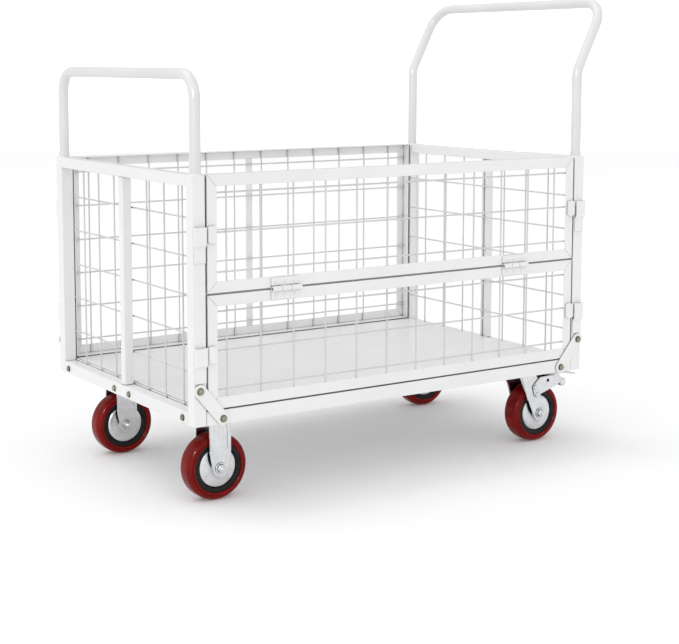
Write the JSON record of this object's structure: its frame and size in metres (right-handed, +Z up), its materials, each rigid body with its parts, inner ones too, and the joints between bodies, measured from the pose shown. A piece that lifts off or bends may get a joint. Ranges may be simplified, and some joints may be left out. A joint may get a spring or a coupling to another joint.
{
  "type": "platform cart",
  "caption": "Platform cart with mesh sides: steel deck on fixed and braked swivel casters, mesh ends with tube handles, lift-off back panel and folding front flap.",
  "frame": {"origin": "middle of the bounding box's footprint, on the floor the wheels stand on", "axes": "+X along the cart towards the tall handle and the swivel casters, +Y towards the one-piece back panel, so the folding front is at -Y, +Z up"},
  "size_m": [1.1856, 0.7214, 1.1245],
  "materials": {
    "white_coat": "gloss white powder coat",
    "white_wire": "gloss white powder coat",
    "zinc": "bright zinc plate",
    "bolt_steel": "zinc plated, slightly brassy",
    "red_tread": "gloss dark red polyurethane",
    "black_core": "satin black moulding"
  },
  "bodies": {
    "cart": {"deck_frame": "white_coat", "deck_sheet": "white_coat", "cross_channel_short_end": "white_coat", "cross_channel_tall_end": "white_coat", "centre_channel": "white_coat", "short_end_frame": "white_coat", "short_end_mesh": "white_wire", "short_handle": "white_coat", "tall_end_frame": "white_coat", "tall_end_mesh": "white_wire", "tall_handle": "white_coat", "strap_short_front": "white_coat", "strap_short_back": "white_coat", "strap_tall_front": "white_coat", "strap_tall_back": "white_coat", "strap_bolt_top_short_front": "bolt_steel", "strap_bolt_foot_short_front": "bolt_steel", "strap_bolt_top_short_back": "bolt_steel", "strap_bolt_foot_short_back": "bolt_steel", "strap_bolt_top_tall_front": "bolt_steel", "strap_bolt_foot_tall_front": "bolt_steel", "strap_bolt_top_tall_back": "bolt_steel", "strap_bolt_foot_tall_back": "bolt_steel", "fixed_front_fork": "zinc", "fixed_front_axle": "zinc", "fixed_back_fork": "zinc", "fixed_back_axle": "zinc", "swivel_front_plate": "zinc", "swivel_back_plate": "zinc"},
    "front_panel": {"front_lower_frame": "white_coat", "front_lower_mesh": "white_wire", "hinge_left_fixed_leaf": "white_coat", "hinge_left_pin": "white_coat", "hinge_right_fixed_leaf": "white_coat", "hinge_right_pin": "white_coat"},
    "flap": {"flap_frame": "white_coat", "flap_mesh": "white_wire", "hinge_left_flap_leaf": "white_coat", "hinge_right_flap_leaf": "white_coat"},
    "back_panel": {"back_frame": "white_coat", "back_mesh": "white_wire"},
    "fixed_front_wheel": {"fixed_front_tread": "red_tread", "fixed_front_core": "black_core", "fixed_front_caps": "zinc"},
    "swivel_front": {"swivel_front_fork": "zinc", "swivel_front_axle": "zinc"},
    "swivel_front_wheel": {"swivel_front_tread": "red_tread", "swivel_front_core": "black_core", "swivel_front_caps": "zinc"},
    "swivel_front_brake": {"swivel_front_pedal": "zinc"},
    "fixed_back_wheel": {"fixed_back_tread": "red_tread", "fixed_back_core": "black_core", "fixed_back_caps": "zinc"},
    "swivel_back": {"swivel_back_fork": "zinc", "swivel_back_axle": "zinc"},
    "swivel_back_wheel": {"swivel_back_tread": "red_tread", "swivel_back_core": "black_core", "swivel_back_caps": "zinc"},
    "swivel_back_brake": {"swivel_back_pedal": "zinc"}
  },
  "joints": [
    {"name": "front_panel_lift", "type": "slide", "parent": "cart", "child": "front_panel", "axis": [0, 0, 1], "range_m": [0, 0.045]},
    {"name": "flap_fold", "type": "hinge", "parent": "front_panel", "child": "flap", "pos_m": [-0.04149, -0.35465, 0.47975], "axis": [1, 0, 0], "range_deg": [0, 170]},
    {"name": "back_panel_lift", "type": "slide", "parent": "cart", "child": "back_panel", "axis": [0, 0, 1], "range_m": [0, 0.045]},
    {"name": "fixed_front_wheel_spin", "type": "hinge", "parent": "cart", "child": "fixed_front_wheel", "pos_m": [-0.48149, -0.23135, 0.075], "axis": [0, 1, 0], "continuous": true},
    {"name": "swivel_front_turn", "type": "hinge", "parent": "cart", "child": "swivel_front", "pos_m": [0.40851, -0.23135, 0.187], "axis": [0, 0, 1], "continuous": true},
    {"name": "swivel_front_wheel_spin", "type": "hinge", "parent": "swivel_front", "child": "swivel_front_wheel", "pos_m": [0.45351, -0.23135, 0.075], "axis": [0, 1, 0], "continuous": true},
    {"name": "swivel_front_brake_press", "type": "hinge", "parent": "swivel_front", "child": "swivel_front_brake", "pos_m": [0.43551, -0.23135, 0.144], "axis": [0, 1, 0], "range_deg": [0, 15]},
    {"name": "fixed_back_wheel_spin", "type": "hinge", "parent": "cart", "child": "fixed_back_wheel", "pos_m": [-0.48149, 0.23465, 0.075], "axis": [0, 1, 0], "continuous": true},
    {"name": "swivel_back_turn", "type": "hinge", "parent": "cart", "child": "swivel_back", "pos_m": [0.40851, 0.23465, 0.187], "axis": [0, 0, 1], "continuous": true},
    {"name": "swivel_back_wheel_spin", "type": "hinge", "parent": "swivel_back", "child": "swivel_back_wheel", "pos_m": [0.45351, 0.23465, 0.075], "axis": [0, 1, 0], "continuous": true},
    {"name": "swivel_back_brake_press", "type": "hinge", "parent": "swivel_back", "child": "swivel_back_brake", "pos_m": [0.43551, 0.23465, 0.144], "axis": [0, 1, 0], "range_deg": [0, 15]}
  ]
}
